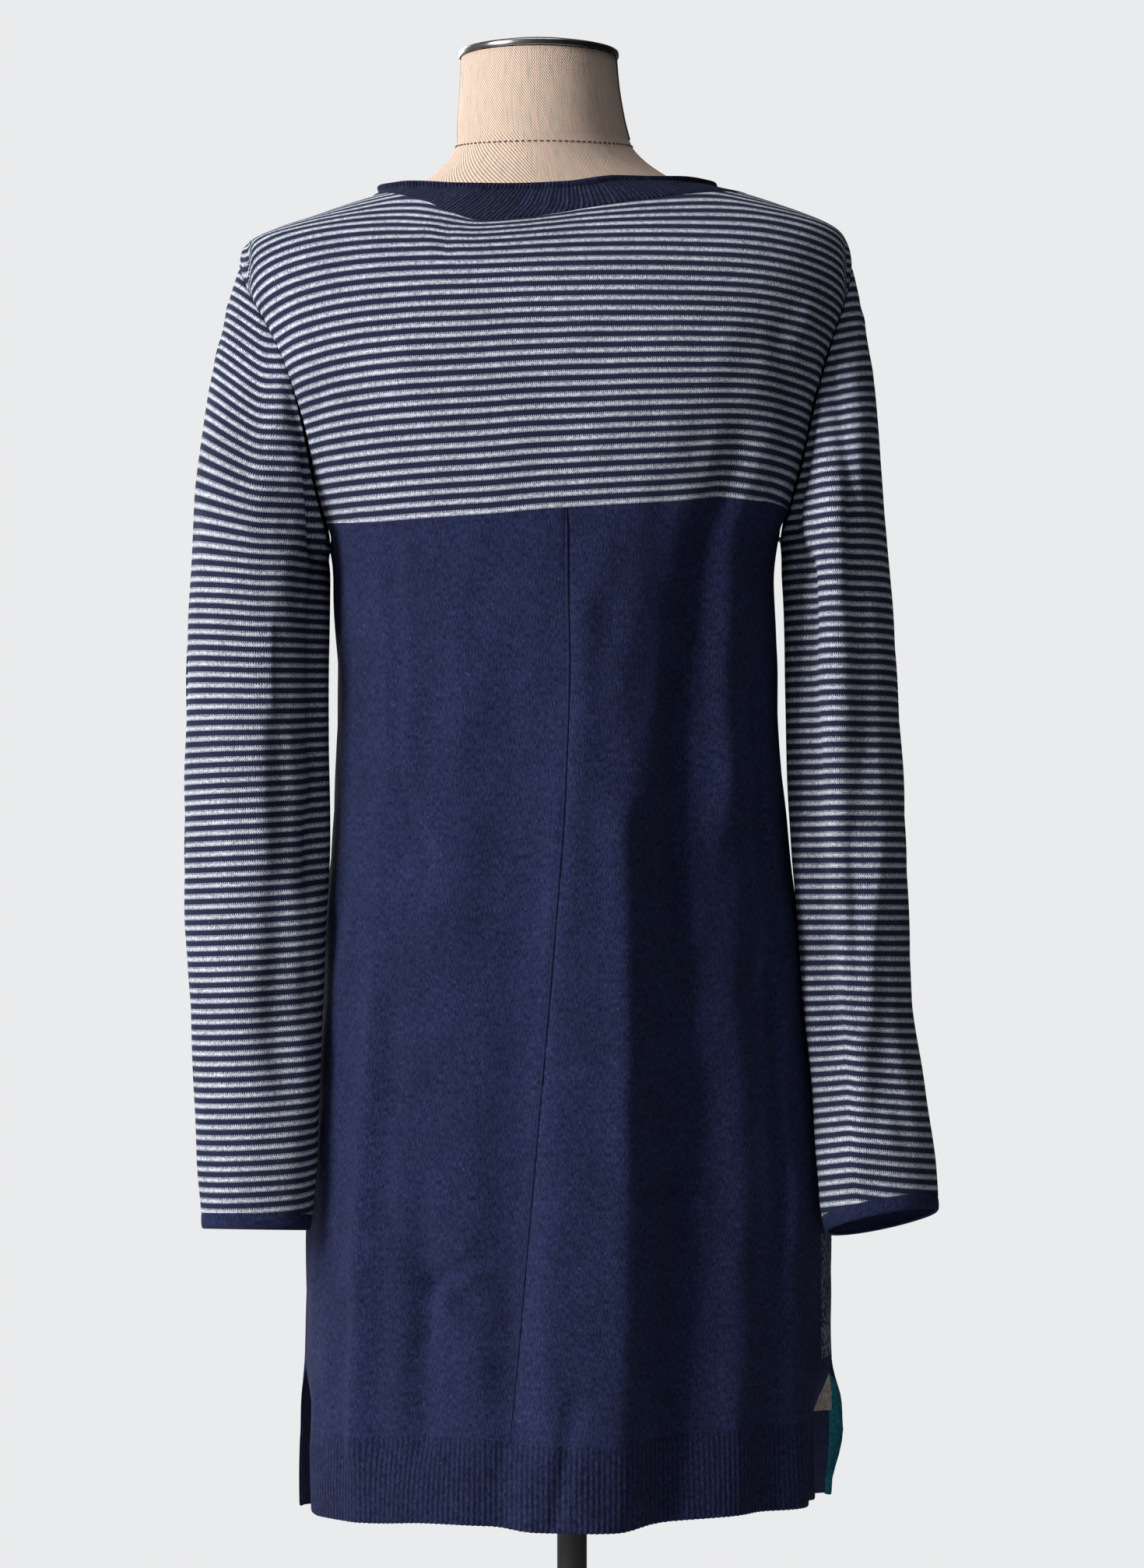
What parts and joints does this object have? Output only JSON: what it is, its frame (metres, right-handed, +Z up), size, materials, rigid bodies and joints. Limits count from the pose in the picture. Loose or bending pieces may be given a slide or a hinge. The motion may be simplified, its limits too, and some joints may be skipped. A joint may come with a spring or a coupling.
{
  "type": "sweater dress on dress form",
  "caption": "Long-sleeved fine-knit dress with a striped yoke and sleeves, a plain skirt with side slits and a ribbed hem, worn by a limbless dress form on a pole stand",
  "frame": {"origin": "middle of the base's underside on the floor, on the pole's axis", "axes": "+Z up along the pole; the dress's front faces -Y and its back +Y; the wearer's left is +X"},
  "size_m": [0.4858, 0.33, 1.4978],
  "materials": {
    "striped_knit": "fine knit in narrow stripes of off-white and navy",
    "navy_knit": "fine plain knit with a soft nap",
    "navy_rib": "ribbed knit",
    "neck_rib": "fine ribbed knit with a rolled edge",
    "linen": "natural linen twill stretched over a form",
    "cap_metal": "polished metal",
    "stand_black": "black satin paint"
  },
  "bodies": {
    "root": {"back_yoke": "striped_knit", "front_yoke": "striped_knit", "sleeve_left": "striped_knit", "sleeve_right": "striped_knit", "back_left": "navy_knit", "back_right": "navy_knit", "front_panel": "navy_knit", "back_hem_rib": "navy_rib", "front_hem_rib": "navy_rib", "cuff_left": "navy_rib", "cuff_right": "navy_rib", "neckband": "neck_rib", "form_torso": "linen", "form_neck": "linen", "neck_cap": "cap_metal", "pole": "stand_black", "stand_base": "stand_black"}
  },
  "joints": []
}
